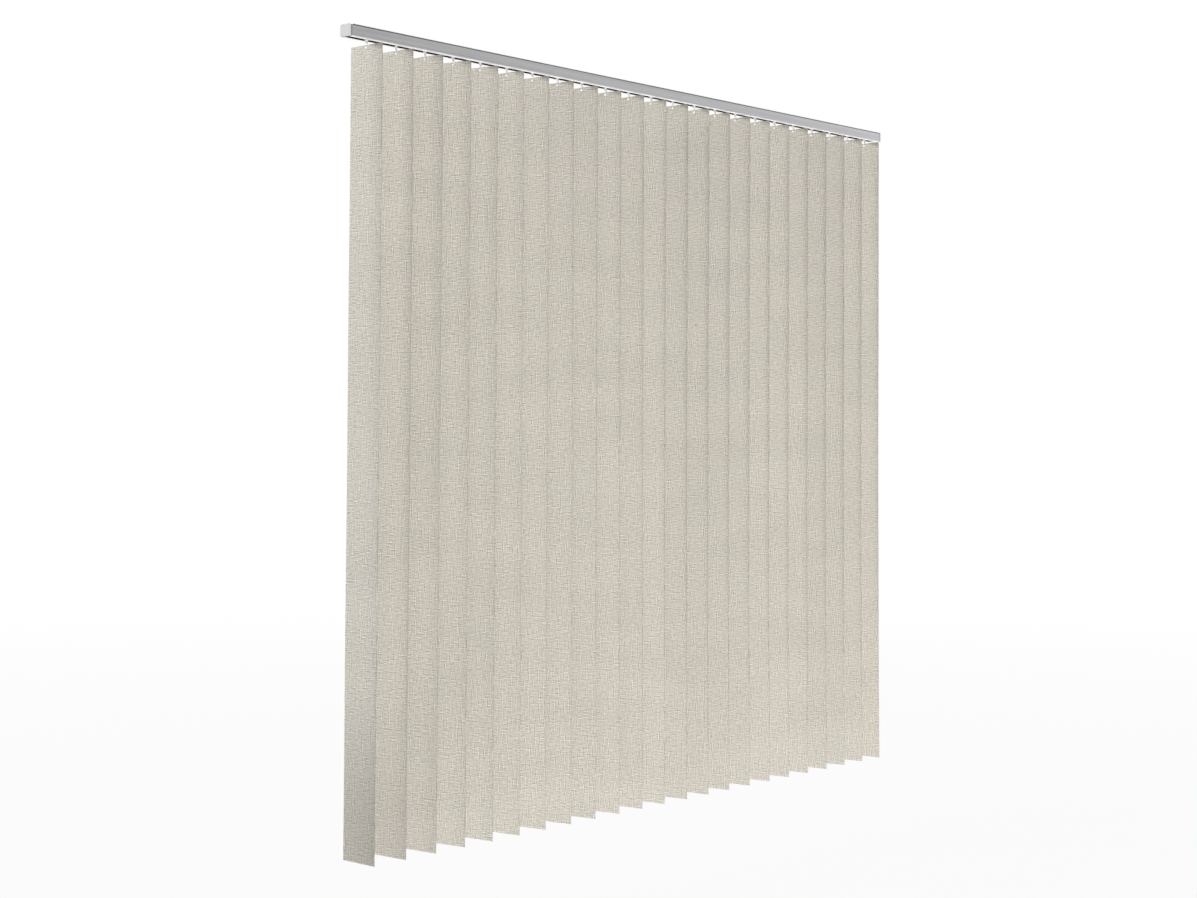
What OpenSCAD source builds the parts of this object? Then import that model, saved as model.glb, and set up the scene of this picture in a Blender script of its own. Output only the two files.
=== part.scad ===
// Vertical blind in millimetres: upright slats of stiff cloth that hang from wheeled carriers in a headrail.
// The origin is the centre of the headrail's top face. X runs along the rail, -Y is the room and Z is up.
// It stands drawn right across, with every slat turned square to the rail.

/* [Slats] */
// Number of slats
slat_count = 23; // [4:1:26]
// Distance from one slat to the next when drawn across
slat_pitch = 113; // [104:1:118]
// Width of a slat
slat_width = 127; // [89:1:127]
// Length of a slat
slat_length = 2155; // [600:5:3000]
// Thickness of a slat
slat_thickness = 0.7; // [0.5:0.1:1]
// Diameter of the hole punched in a slat
hole_d = 7; // [6.6:0.1:8]
// Distance from a slat's top edge down to the middle of its hole
hole_drop = 7.5; // [6.5:0.5:14]
// Free height between the headrail and the slats
slat_gap = 12; // [8:0.5:25]

/* [Headrail] */
// Depth of the headrail from front to back, which grows where larger gears need it
rail_depth = 40; // [40:0.5:50]
// Height of the headrail
rail_height = 33; // [29.5:0.5:36]
// Thickness of the headrail's walls
rail_wall = 1.4; // [1.2:0.1:1.6]
// Radius of the headrail's lower edges
rail_radius = 3; // [2:0.25:3.5]
// Width of the slot along the underside
slot_width = 18; // [12:0.5:18]
// Height of the grooves that ceiling clips grip, one on each side
groove_height = 2; // [1.5:0.1:2.4]
// Depth of the clip grooves
groove_depth = 1.6; // [1:0.1:2]
// Distance from an outer slat's middle to the end of the blind
end_margin = 77; // [72:1:120]

/* [End fittings] */
// Thickness of an end cap's plate
cap_plate = 3; // [2:0.5:5]
// Width of the shadow line between cap and headrail
cap_neck = 2; // [1:0.5:3]
// Depth of that shadow line
neck_depth = 1.5; // [1:0.1:2]
// Length of the control housing, which closes the slot at the right end
housing_length = 25; // [24:1:34]

/* [Carriers] */
// Length of a carrier along the rail
carrier_length = 22; // [19:0.5:24]
// Diameter of a carrier's wheels
runner_d = 9; // [7:0.5:9]
// Width of a carrier's wheels
runner_width = 3; // [2:0.25:4]
// Height of the free space for spacer strips over the carriers
strip_space = 3.6; // [3.4:0.1:4]

/* [Tilt gear] */
// Tooth size: pitch diameter over number of teeth
gear_module = 0.8; // [0.75:0.01:0.82]
// Teeth on a hanger's wheel
wheel_teeth = 14; // [12:1:14]
// Teeth on the rod's gear and on the chain wheel's gear
control_teeth = 13; // [11:1:14]
// Face width of the gears
gear_width = 5; // [4:0.25:5]
// Diameter of the tilt rod
rod_d = 6; // [5:0.1:6]
// Diameter of a hanger's stem
stem_d = 5; // [4:0.1:5.4]
// Diameter of a hanger's collar in the slot
collar_d = 10; // [8:0.5:11]

/* [Hidden] */
$fn = 48;

// Clearances: pieces set on one another, shafts in bores, moving faces, wheels over their track, wheels beside
// the rail's walls, and plugs in the rail
seat_gap = 0.02;
shaft_gap = 0.05;
free_gap = 0.3;
track_gap = 0.1;
side_gap = 0.45;
plug_gap = 0.2;
// Overlap that joins two shapes of one piece
join = 0.5;

// The rail's length, its ends and its inside
cap_depth = cap_plate + cap_neck;
rail_length = (slat_count - 1) * slat_pitch + 2 * (end_margin - cap_depth);
rail_end = rail_length / 2;
cavity_floor = -rail_height + rail_wall;
cavity_step = -2 * rail_wall - groove_height;
cavity_top = -rail_wall;
cavity_radius = 0.5;

// Heights inside a carrier
lid_thickness = 2;
lid_top = cavity_top - strip_space;
lid_bottom = lid_top - lid_thickness;
carrier_bottom = cavity_floor + 2.6;

// Hanger wheel, worm and rod, with the rod beside the hangers at the wheel's height
wheel_tip = gear_module * (wheel_teeth / 2 + 1);
worm_wall = 0.9;
worm_bore = rod_d + 2 * free_gap;
worm_root = worm_bore / 2 + worm_wall;
worm_tip = worm_root + 2.25 * gear_module;
trough_length = carrier_length - 6;
worm_length = trough_length - 2 * seat_gap;
worm_flange = 1.2;
rod_y = wheel_tip + worm_root + free_gap;
trough_r = worm_tip + shaft_gap;
rod_z = lid_bottom - trough_r - 0.4;
rod_groove_r = 0.6;
rod_play = 0.5;
wheel_bottom = rod_z - gear_width / 2;
carrier_rear = rod_y + trough_r + 1.2;

// Half depths of the rail, of its inside and of a carrier between its wheels
rail_half = max(rail_depth / 2, carrier_rear + side_gap + rail_wall);
cavity_half = rail_half - rail_wall;
upper_half = rail_half - groove_depth - rail_wall;
carrier_half = cavity_half - side_gap - runner_width - seat_gap;

// Wheels that run on the lips beside the slot
axle_d = 2.4;
axle_x = carrier_length / 2 - runner_d / 2;
runner_z = cavity_floor + runner_d / 2 + track_gap;

// Spacer strips: each lies in one of several lanes, so that the strips pass in the stack
lane_count = 5;
lane_pitch = 6;
strip_width = 5;
strip_thickness = 0.6;
strip_bottom = lid_top + 2;
post_length = 6;
stop_length = 3;
stop_top = strip_bottom - 0.4;
tab_thickness = 1.2;
tab_bottom = lid_top + free_gap;

// Hanger: a stem with a collar, then a tongue behind the slat with a peg through its hole
slat_top = -rail_height - slat_gap;
hole_z = slat_top - hole_drop;
stem_top = lid_bottom - free_gap;
stem_bottom = slat_top + 2;
collar_top = carrier_bottom - free_gap;
collar_bottom = -rail_height - 0.6;
tongue_width = 7;
tongue_thickness = 1.8;
tongue_bottom = hole_z - 6;
tongue_top = stem_bottom + 5;
peg_d = hole_d - 0.6;
peg_reach = 1.2;

// Control: the rod's gear turns with the chain wheel, whose axle is over the slot
control_module = rod_y / control_teeth;
control_tip = control_module * (control_teeth / 2 + 1);
housing_wall = 4;
housing_start = rail_end - housing_length;
control_gear_x = housing_start + housing_wall + 0.6;
chain_groove_x = control_gear_x + gear_width + free_gap;
chain_width = 5.2;
chain_r = 6.4;
chain_pockets = 6;
bead_r = 2.3;
chain_axle_d = 4;
boss_wall = 2.2;
boss_x = chain_groove_x + chain_width + 0.6;
plug_depth = 10;
bearing_depth = 8;

function numbered(name, i) = str(name, "_", i < 10 ? "0" : "", i);
function hanger_x(i) = (i - 1 - (slat_count - 1) / 2) * slat_pitch;
function lane_y(i) = (i % lane_count - (lane_count - 1) / 2) * lane_pitch;

CARRIERS = [for (i = [1:slat_count]) numbered("carrier", i)];
SLATS = [for (i = [1:slat_count]) numbered("slat", i)];
END_FITTINGS = ["left_end_cap", "right_end_cap", "control_housing"];
GEARING = ["tilt_rod", "rod_gear", "chain_wheel"];

aluminium = [0.70, 0.71, 0.72];
white_plastic = [0.90, 0.90, 0.89];
dark_plastic = [0.16, 0.16, 0.17];
linen = [0.78, 0.76, 0.72];

// Extrudes a section drawn as depth across and height up, along X
module along_x(start, length) {
    translate([start, 0, 0]) rotate([90, 0, 90]) linear_extrude(length) children();
}

// Round bar along X at a depth and height
module bar_x(start, length, d, y, z) {
    translate([start, y, z]) rotate([0, 90, 0]) cylinder(h = length, d = d);
}

// Box between two corners
module box(low, high) {
    translate(low) cube(high - low);
}

// Section with square upper and round lower corners
module tray_section(half, bottom, top, r) {
    translate([-half, bottom + r]) square([2 * half, top - bottom - r]);
    translate([-half + r, bottom]) square([2 * (half - r), r + join]);
    for (side = [-1, 1]) {
        translate([side * (half - r), bottom + r]) circle(r);
    }
}

// The headrail's outer section, moved inwards by inset
module rail_outline(inset = 0) {
    tray_section(rail_half - inset, -rail_height + inset, -inset, rail_radius - inset);
}

// The headrail's inside, which narrows under the clip grooves
module rail_cavity(gap = 0) {
    tray_section(cavity_half - gap, cavity_floor + gap, cavity_step - gap, cavity_radius);
    translate([-upper_half + gap, cavity_step - join]) {
        square([2 * (upper_half - gap), cavity_top - cavity_step + join - gap]);
    }
}

// Toothed disc on the XY plane, with its first tooth turned by phase
module toothed_wheel(teeth, modul, width, phase = 0) {
    pitch_r = modul * teeth / 2;
    tip_r = pitch_r + modul;
    root_r = pitch_r - 1.25 * modul;
    base_half = 0.78 * modul;
    tip_half = 0.3 * modul;
    linear_extrude(width) {
        circle(root_r);
        for (k = [0:teeth - 1]) {
            rotate(phase + k * 360 / teeth) {
                polygon([
                    [root_r - join, -base_half],
                    [tip_r, -tip_half],
                    [tip_r, tip_half],
                    [root_r - join, base_half]
                ]);
            }
        }
    }
}

module headrail() {
    color(aluminium) along_x(-rail_end, rail_length) difference() {
        rail_outline();
        rail_cavity();
        translate([-slot_width / 2, -rail_height - join]) square([slot_width, rail_wall + 2 * join]);
        for (side = [-1, 1]) {
            translate([side * rail_half, -rail_wall - groove_height / 2]) {
                square([2 * groove_depth, groove_height], center = true);
            }
        }
    }
}

// Plate and shadow line that close an end of the rail, on the left side as drawn
module cap_face() {
    along_x(-rail_end - cap_depth, cap_plate) rail_outline();
    along_x(-rail_end - cap_neck - join, cap_neck + join) rail_outline(neck_depth);
}

module left_end_cap() {
    color(white_plastic) difference() {
        union() {
            cap_face();
            along_x(-rail_end - join, plug_depth + join) difference() {
                rail_cavity(plug_gap);
                translate([-carrier_half, -rail_height]) square([2 * carrier_half, rail_height + lid_bottom]);
            }
            bar_x(-rail_end - join, bearing_depth + join, rod_d + 2 * boss_wall, rod_y, rod_z);
        }
        bar_x(-rail_end, bearing_depth + join, rod_d + 2 * shaft_gap, rod_y, rod_z);
    }
}

module right_end_cap() {
    boss_length = rail_end - boss_x;
    color(white_plastic) difference() {
        union() {
            mirror([1, 0, 0]) cap_face();
            bar_x(boss_x, boss_length + join, rod_d + 2 * boss_wall, rod_y, rod_z);
            bar_x(boss_x, boss_length + join, chain_axle_d + 2 * boss_wall, 0, rod_z);
        }
        bar_x(boss_x - join, boss_length + join, rod_d + 2 * shaft_gap, rod_y, rod_z);
        bar_x(boss_x - join, boss_length + join, chain_axle_d + 2 * shaft_gap, 0, rod_z);
    }
}

// Housing pushed into the rail's right end, open towards the cap, with the chain's mouth underneath
module control_housing() {
    mouth_half = slot_width / 2 - 1;
    room = [housing_start + housing_wall, -chain_r - free_gap, rod_z - chain_r - free_gap];
    room_far = [rail_end + join, rod_y + control_tip + free_gap, rod_z + chain_r + free_gap];
    color(white_plastic) difference() {
        union() {
            along_x(housing_start, housing_length) rail_cavity(plug_gap);
            box([housing_start, -slot_width / 2 + plug_gap, -rail_height],
                [rail_end, slot_width / 2 - plug_gap, cavity_floor + plug_gap + join]);
        }
        box(room, room_far);
        box([chain_groove_x, -mouth_half, -rail_height - join],
            [chain_groove_x + chain_width, mouth_half, rod_z]);
        bar_x(housing_start - join, housing_wall + 2 * join, rod_d + 2 * shaft_gap, rod_y, rod_z);
        bar_x(housing_start - join, housing_wall + 2 * join, chain_axle_d + 2 * shaft_gap, 0, rod_z);
    }
}

// Rod along the rail, with three drive grooves between its round ends
module tilt_rod() {
    grooves_start = -rail_end + bearing_depth + 2;
    color(aluminium) difference() {
        bar_x(-rail_end + rod_play, rail_length - 2 * rod_play, rod_d, rod_y, rod_z);
        for (turn = [0:120:240]) {
            groove_y = rod_y + rod_d / 2 * cos(turn);
            groove_z = rod_z + rod_d / 2 * sin(turn);
            bar_x(grooves_start, housing_start - 2 - grooves_start, 2 * rod_groove_r, groove_y, groove_z);
        }
    }
}

module rod_gear() {
    color(white_plastic) translate([control_gear_x, rod_y, rod_z]) rotate([90, 0, 90]) difference() {
        toothed_wheel(control_teeth, control_module, gear_width, 180 + 180 / control_teeth);
        translate([0, 0, -join]) cylinder(h = gear_width + 2 * join, d = rod_d + 2 * shaft_gap);
    }
}

module chain_wheel() {
    color(white_plastic) {
        translate([control_gear_x, 0, rod_z]) rotate([90, 0, 90]) {
            toothed_wheel(control_teeth, control_module, gear_width);
        }
        difference() {
            bar_x(chain_groove_x, chain_width, 2 * chain_r, 0, rod_z);
            for (k = [0:chain_pockets - 1]) {
                pocket = 360 * k / chain_pockets;
                translate([
                    chain_groove_x + chain_width / 2,
                    chain_r * cos(pocket),
                    rod_z + chain_r * sin(pocket)
                ]) sphere(bead_r);
            }
        }
        bar_x(housing_start + rod_play, rail_end - housing_start - 2 * rod_play, chain_axle_d, 0, rod_z);
    }
}

// Carrier's moulded body, with pockets for the hanger's wheel and the worm
module carrier_body() {
    half = carrier_length / 2;
    difference() {
        union() {
            box([-half, -carrier_half, carrier_bottom], [half, carrier_half, lid_bottom]);
            box([-half, 0, rod_z - trough_r], [half, carrier_rear, lid_bottom]);
            for (x = [-axle_x, axle_x]) {
                translate([x, 0, runner_z]) rotate([90, 0, 0]) {
                    cylinder(h = 2 * (carrier_half + runner_width), d = axle_d, center = true);
                }
            }
        }
        translate([0, 0, wheel_bottom]) {
            cylinder(h = lid_bottom - wheel_bottom + join, r = wheel_tip + free_gap);
        }
        translate([0, 0, carrier_bottom - join]) {
            cylinder(h = wheel_bottom - carrier_bottom + 2 * join, d = stem_d + 2 * shaft_gap);
        }
        bar_x(-trough_length / 2, trough_length, 2 * trough_r, rod_y, rod_z);
        box([-trough_length / 2, rod_y - trough_r, rod_z],
            [trough_length / 2, rod_y + trough_r, lid_bottom + join]);
        bar_x(-half - join, carrier_length + 2 * join, worm_bore, rod_y, rod_z);
    }
}

// Sleeve that the rod turns, with a flange at each end of its thread's length
module worm() {
    difference() {
        union() {
            bar_x(-worm_length / 2, worm_length, 2 * worm_root, rod_y, rod_z);
            for (x = [-worm_length / 2, worm_length / 2 - worm_flange]) {
                bar_x(x, worm_flange, 2 * worm_tip, rod_y, rod_z);
            }
        }
        bar_x(-worm_length, 2 * worm_length, worm_bore, rod_y, rod_z);
    }
}

module runner() {
    rotate([90, 0, 0]) difference() {
        cylinder(h = runner_width, d = runner_d);
        translate([0, 0, -join]) cylinder(h = runner_width + 2 * join, d = axle_d + 2 * shaft_gap);
    }
}

// Lid over the gears: a post carries this carrier's strip, and a stop holds the next carrier's
module carrier_lid(i) {
    half = carrier_length / 2;
    box([-half, -carrier_half, lid_bottom + seat_gap], [half, carrier_rear, lid_top]);
    if (i > 1) {
        box([-post_length / 2, lane_y(i) - strip_width / 2, lid_top - join],
            [post_length / 2, lane_y(i) + strip_width / 2, strip_bottom - seat_gap]);
    }
    if (i < slat_count) {
        box([-stop_length / 2, lane_y(i + 1) - strip_width / 2, lid_top - join],
            [stop_length / 2, lane_y(i + 1) + strip_width / 2, stop_top]);
    }
}

// Strip that keeps the carrier before this one from going further than one pitch
module spacer_strip(i) {
    strip_top = strip_bottom + strip_thickness;
    tab_x = -slat_pitch - stop_length / 2 - free_gap;
    low_y = lane_y(i) - strip_width / 2;
    high_y = lane_y(i) + strip_width / 2;
    box([tab_x - tab_thickness, low_y, strip_bottom], [post_length / 2, high_y, strip_top]);
    box([tab_x - tab_thickness, low_y, tab_bottom], [tab_x, high_y, strip_top]);
}

module carrier(i) {
    translate([hanger_x(i), 0, 0]) {
        color(dark_plastic) {
            carrier_body();
            carrier_lid(i);
        }
        color(white_plastic) {
            worm();
            for (x = [-axle_x, axle_x]) {
                translate([x, -carrier_half - seat_gap, runner_z]) runner();
                translate([x, carrier_half + seat_gap + runner_width, runner_z]) runner();
            }
        }
        if (i > 1) {
            color(aluminium) spacer_strip(i);
        }
    }
}

// Wheel pressed on a hanger's stem inside the carrier
module hanger_wheel() {
    translate([0, 0, wheel_bottom]) difference() {
        toothed_wheel(wheel_teeth, gear_module, gear_width);
        translate([0, 0, -join]) cylinder(h = gear_width + 2 * join, d = stem_d + 2 * seat_gap);
    }
}

// Stem pushed up through the carrier, with a collar in the slot and the tongue and peg that hold a slat
module hanger() {
    tongue_front = slat_thickness / 2 + seat_gap;
    translate([0, 0, stem_bottom]) cylinder(h = stem_top - stem_bottom, d = stem_d);
    translate([0, 0, collar_bottom]) cylinder(h = collar_top - collar_bottom, d = collar_d);
    box([tongue_front, -tongue_width / 2, tongue_bottom],
        [tongue_front + tongue_thickness, tongue_width / 2, tongue_top]);
    bar_x(-slat_thickness / 2 - peg_reach, slat_thickness + peg_reach + join, peg_d, 0, hole_z);
}

module slat_cloth() {
    difference() {
        box([-slat_thickness / 2, -slat_width / 2, slat_top - slat_length],
            [slat_thickness / 2, slat_width / 2, slat_top]);
        bar_x(-slat_thickness, 2 * slat_thickness, hole_d, 0, hole_z);
    }
}

module slat(i) {
    translate([hanger_x(i), 0, 0]) {
        color(linen) slat_cloth();
        color(white_plastic) {
            hanger();
            hanger_wheel();
        }
    }
}

headrail();
left_end_cap();
right_end_cap();
control_housing();
tilt_rod();
rod_gear();
chain_wheel();
for (i = [1:slat_count]) {
    carrier(i);
    slat(i);
}
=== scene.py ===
"""Looks of a vertical blind: cloth slats on white hangers under a slotted aluminium headrail, in metres."""
import logging
import math
import random
from dataclasses import dataclass
from enum import Enum

import bmesh
import bpy
from mathutils import Matrix, Vector


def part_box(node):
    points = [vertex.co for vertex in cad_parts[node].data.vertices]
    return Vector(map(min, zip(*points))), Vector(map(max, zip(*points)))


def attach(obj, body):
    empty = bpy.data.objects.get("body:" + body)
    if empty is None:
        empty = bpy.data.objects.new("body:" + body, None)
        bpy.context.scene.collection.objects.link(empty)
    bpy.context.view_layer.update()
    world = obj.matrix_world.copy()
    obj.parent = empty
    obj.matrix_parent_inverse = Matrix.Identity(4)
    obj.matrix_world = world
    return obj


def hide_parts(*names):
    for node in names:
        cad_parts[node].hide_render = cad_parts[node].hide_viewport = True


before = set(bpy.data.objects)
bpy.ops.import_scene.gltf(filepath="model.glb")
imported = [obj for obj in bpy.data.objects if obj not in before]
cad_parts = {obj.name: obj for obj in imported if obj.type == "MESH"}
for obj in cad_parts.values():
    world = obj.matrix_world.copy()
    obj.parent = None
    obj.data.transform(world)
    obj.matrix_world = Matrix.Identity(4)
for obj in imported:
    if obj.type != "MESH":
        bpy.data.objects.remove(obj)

LOG = logging.getLogger("vertical_blind")
Socket = bpy.types.NodeSocket
Material = bpy.types.Material
Triple = tuple[float, float, float]
Outline = tuple[tuple[float, float], ...]

SLAT_COUNT = 23
TINY = 1e-6
LEAN_SEED = 700
RIPPLE_SEED = 40
SHADE_SEED = 90
CAP_TONE = (0.41, 0.41, 0.41)
WHITE_TONE = (0.95, 0.95, 0.945)
# Painted shade on the slats' cut edges, which darkens them to a thin dark line.
CUT_EDGE_SHADE = 0.6
GLOW = (1.0, 1.0, 1.0, 1.0)


class Side(Enum):
    """End of the headrail, seen from the room."""

    LEFT = -1
    RIGHT = 1


class Slot(Enum):
    """Material slots of the record."""

    RAIL = "anodised_rail"
    CAP = "cap_plastic"
    WHITE = "white_plastic"
    ROD = "rod_metal"
    CARRIER = "carrier_plastic"
    CLOTH = "slat_cloth"


class NodeBench:
    """Adds and links the nodes of one material or world."""

    THREAD_SHIFT = 40.0
    THREAD_STEP = 0.73

    def __init__(self, owner: bpy.types.ID) -> None:
        """Empties the owner's node tree.

        Args:
            owner: A material or a world.
        """
        self.owner = owner
        owner.use_nodes = True
        self.tree = owner.node_tree
        self.tree.nodes.clear()

    @classmethod
    def for_material(cls, name: str) -> "NodeBench":
        """Starts a new material of this name."""
        return cls(bpy.data.materials.new(name))

    def add(self, kind: str, inputs: dict | None = None, **settings: object) -> bpy.types.Node:
        """Adds one node.

        Args:
            kind: The node's type.
            inputs: Values or source sockets by input name or number.
            settings: Attributes of the node.

        Returns:
            The new node.
        """
        node = self.tree.nodes.new(kind)
        for key, value in settings.items():
            setattr(node, key, value)
        for key, value in (inputs or {}).items():
            if isinstance(value, Socket):
                self.tree.links.new(value, node.inputs[key])
            else:
                node.inputs[key].default_value = value
        return node

    def math(self, operation: str, first: object, second: object = 0.0) -> Socket:
        """Adds a Math node for two sockets or numbers and returns its result."""
        return self.add("ShaderNodeMath", {0: first, 1: second}, operation=operation).outputs[0]

    def noise(self, vector: Socket, stretch: Triple, detail: float = 2.0, roughness: float = 0.5) -> Socket:
        """Adds a noise that is stretched along the axes.

        Args:
            vector: The coordinates, in metres.
            stretch: Cells in a metre along each axis.
            detail: The noise's octaves.
            roughness: The octaves' falloff.

        Returns:
            The noise's value socket.
        """
        mapped = self.add("ShaderNodeMapping", {"Vector": vector, "Scale": stretch}).outputs[0]
        inputs = {"Vector": mapped, "Scale": 1.0, "Detail": detail, "Roughness": roughness}
        return self.add("ShaderNodeTexNoise", inputs).outputs["Fac"]

    def strands(self, vector: Socket, lengthwise: int, cells: float, density: float) -> Socket:
        """Adds threads side by side, each with a bright and a dark side that swell at its own places.

        Args:
            vector: The coordinates, in metres.
            lengthwise: Axis that the threads follow, 0 or 1.
            cells: Swells in a metre.
            density: Threads in a metre.

        Returns:
            The threads' brightness, about 0.5.
        """
        axes = self.axes(vector)
        across = self.math("MULTIPLY", axes[1 - lengthwise], density)
        thread = self.math("FLOOR", across)
        chance = self.add("ShaderNodeTexWhiteNoise", {"W": thread}, noise_dimensions="1D")
        start = self.math("MULTIPLY", chance.outputs["Value"], self.THREAD_SHIFT)
        along = self.math("ADD", self.math("MULTIPLY", axes[lengthwise], cells), start)
        beside = self.math("MULTIPLY", thread, self.THREAD_STEP)
        place = self.add("ShaderNodeCombineXYZ", {0: along, 1: beside}).outputs[0]
        swell = self.vary(self.noise(place, (1.0, 1.0, 1.0), 1.0, 0.6), 0.5, reach=0.25)
        sides = self.math("SINE", self.math("MULTIPLY", across, math.tau))
        return self.math("ADD", self.math("MULTIPLY", swell, sides), 0.5)

    def span(self, value: Socket, low: float, high: float, to_low: object, to_high: float) -> Socket:
        """Maps a range of a value to another one, clamped; to_low may be a socket."""
        inputs = {"Value": value, "From Min": low, "From Max": high, "To Min": to_low, "To Max": to_high}
        return self.add("ShaderNodeMapRange", inputs).outputs["Result"]

    def vary(self, value: Socket, spread: float, middle: float = 0.0, reach: float = 0.2) -> Socket:
        """Spreads a noise that reaches so far from 0.5 about a middle."""
        return self.span(value, 0.5 - reach, 0.5 + reach, middle - spread, middle + spread)

    def blend(self, factor: object, first: object, second: object, mode: str = "MIX") -> Socket:
        """Mixes two colours, sockets or RGBA; the factor is the second one's share."""
        node = self.add("ShaderNodeMix", {0: factor, 6: first, 7: second}, data_type="RGBA", blend_type=mode)
        return node.outputs[2]

    def grey(self, value: Socket) -> Socket:
        """Turns a value into a grey colour."""
        return self.add("ShaderNodeCombineColor", {0: value, 1: value, 2: value}).outputs[0]

    def tint(self, colour: object, level: Socket) -> Socket:
        """Multiplies a colour by a level."""
        return self.blend(1.0, colour, self.grey(level), "MULTIPLY")

    def axes(self, vector: Socket) -> list[Socket]:
        """Splits a vector into its three sockets."""
        return list(self.add("ShaderNodeSeparateXYZ", {0: vector}).outputs)

    def seen(self) -> Socket:
        """Returns 1 for rays of the camera and those that were mirrored or let through."""
        path = self.add("ShaderNodeLightPath").outputs
        mirrored = self.math("MAXIMUM", path["Is Camera Ray"], path["Is Glossy Ray"])
        return self.math("MAXIMUM", mirrored, path["Is Transmission Ray"])

    def bump(self, height: Socket, distance: float, strength: float) -> Socket:
        """Returns the normal of a bump, whose height of 1 is a distance in metres."""
        inputs = {"Height": height, "Distance": distance, "Strength": strength}
        return self.add("ShaderNodeBump", inputs).outputs[0]

    def surface(self, shader: bpy.types.Node) -> Material:
        """Ends the material with a shader and returns it."""
        self.add("ShaderNodeOutputMaterial", {"Surface": shader.outputs[0]})
        return self.owner

    def shade(self, inputs: dict) -> Material:
        """Ends the material with a Principled shader of these inputs."""
        return self.surface(self.add("ShaderNodeBsdfPrincipled", inputs))

    def place(self) -> Socket:
        """Returns the piece's own coordinates in metres."""
        return self.add("ShaderNodeTexCoord").outputs["Object"]


@dataclass(frozen=True)
class AnodisedAluminium:
    """Satin anodised skin of the headrail, drawn lengthwise, with painted shade that makes its hollow and
    slot edges nearly black, and painted light that makes its underside pale.
    """

    tone: Triple = (0.80, 0.80, 0.815)
    roughness: float = 0.40
    roughness_spread: float = 0.06
    draw_cells: Triple = (1.5, 420.0, 420.0)
    draw_spread: float = 0.05
    draw_height: float = 0.00006
    cloud_cells: Triple = (5.0, 40.0, 40.0)
    cloud_spread: float = 0.03
    streak_cells: Triple = (0.7, 170.0, 170.0)
    streak_spread: float = 0.07
    # Painted shade: the hollow and the slot's lips are nearly black and dull, standing in for the shade
    # inside the rail.
    inside_half: float = 0.01865
    inside_low: float = -0.03165
    inside_high: float = -0.0013
    painted_shade_tone: Triple = (0.008, 0.008, 0.008)
    inside_roughness: float = 0.9
    lip_half: float = 0.00908
    # Painted light: below the lowest of these heights the underside is a pale non-metal, standing in for
    # light thrown up from the floor.
    painted_light_low: float = -0.0320
    painted_light_run: float = 0.0004
    painted_light_tone: Triple = (0.92, 0.92, 0.92)

    def material(self) -> Material:
        """Builds the finish."""
        bench = NodeBench.for_material("anodised_aluminium")
        place = bench.place()
        draw = bench.noise(place, self.draw_cells, 3.0)
        cloud = bench.vary(bench.noise(place, self.cloud_cells), self.cloud_spread, 1.0)
        streak = bench.vary(bench.noise(place, self.streak_cells), self.streak_spread)
        level = bench.math("ADD", bench.vary(draw, self.draw_spread), cloud)
        skin = bench.tint((*self.tone, 1.0), bench.math("ADD", level, streak))
        _, y, z = bench.axes(place)
        # Painted shade makes the hollow and slot edges nearly black; painted light makes the underside pale.
        painted_shade_mask = self.painted_shade_mask(bench, bench.math("ABSOLUTE", y), z)
        pale = bench.span(z, self.painted_light_low, self.painted_light_low + self.painted_light_run, 1.0, 0.0)
        colour = bench.blend(pale, skin, (*self.painted_light_tone, 1.0))
        colour = bench.blend(painted_shade_mask, colour, (*self.painted_shade_tone, 1.0))
        bare = bench.math("SUBTRACT", 1.0, bench.math("MAXIMUM", painted_shade_mask, pale))
        rough = bench.vary(draw, self.roughness_spread, self.roughness)
        rough = bench.math("MAXIMUM", rough, bench.math("MULTIPLY", painted_shade_mask, self.inside_roughness))
        return bench.shade({"Base Color": colour, "Metallic": bare, "Roughness": rough,
                            "Normal": bench.bump(draw, self.draw_height, 0.5)})

    def painted_shade_mask(self, bench: NodeBench, across: Socket, z: Socket) -> Socket:
        """Marks where shade is painted: the rail's hollow and the edges of its slot.

        Args:
            bench: The material's bench.
            across: Distance from the rail's middle.
            z: Height.

        Returns:
            A socket that is 1 there and 0 elsewhere.
        """
        within = bench.math("LESS_THAN", across, self.inside_half)
        above = bench.math("GREATER_THAN", z, self.inside_low)
        below = bench.math("LESS_THAN", z, self.inside_high)
        hollow = bench.math("MULTIPLY", within, bench.math("MULTIPLY", above, below))
        lips = bench.math("MULTIPLY", bench.math("LESS_THAN", across, self.lip_half), below)
        return bench.math("MAXIMUM", hollow, lips)


@dataclass(frozen=True)
class MouldedPlastic:
    """Satin moulded plastic with a fine spark-eroded grain."""

    name: str
    tone: Triple
    roughness: float = 0.42
    roughness_spread: float = 0.07
    grain_cells: Triple = (2600.0, 2600.0, 2600.0)
    grain_height: float = 0.00004
    flow_cells: Triple = (60.0, 60.0, 60.0)
    flow_middle: float = 0.9975
    flow_spread: float = 0.0325

    def material(self) -> Material:
        """Builds the finish."""
        bench = NodeBench.for_material(self.name)
        place = bench.place()
        grain = bench.noise(place, self.grain_cells)
        flow = bench.vary(bench.noise(place, self.flow_cells), self.flow_spread, self.flow_middle)
        rough = bench.vary(grain, self.roughness_spread, self.roughness)
        return bench.shade({"Base Color": bench.tint((*self.tone, 1.0), flow), "Roughness": rough,
                            "Normal": bench.bump(grain, self.grain_height, 0.4)})


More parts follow.
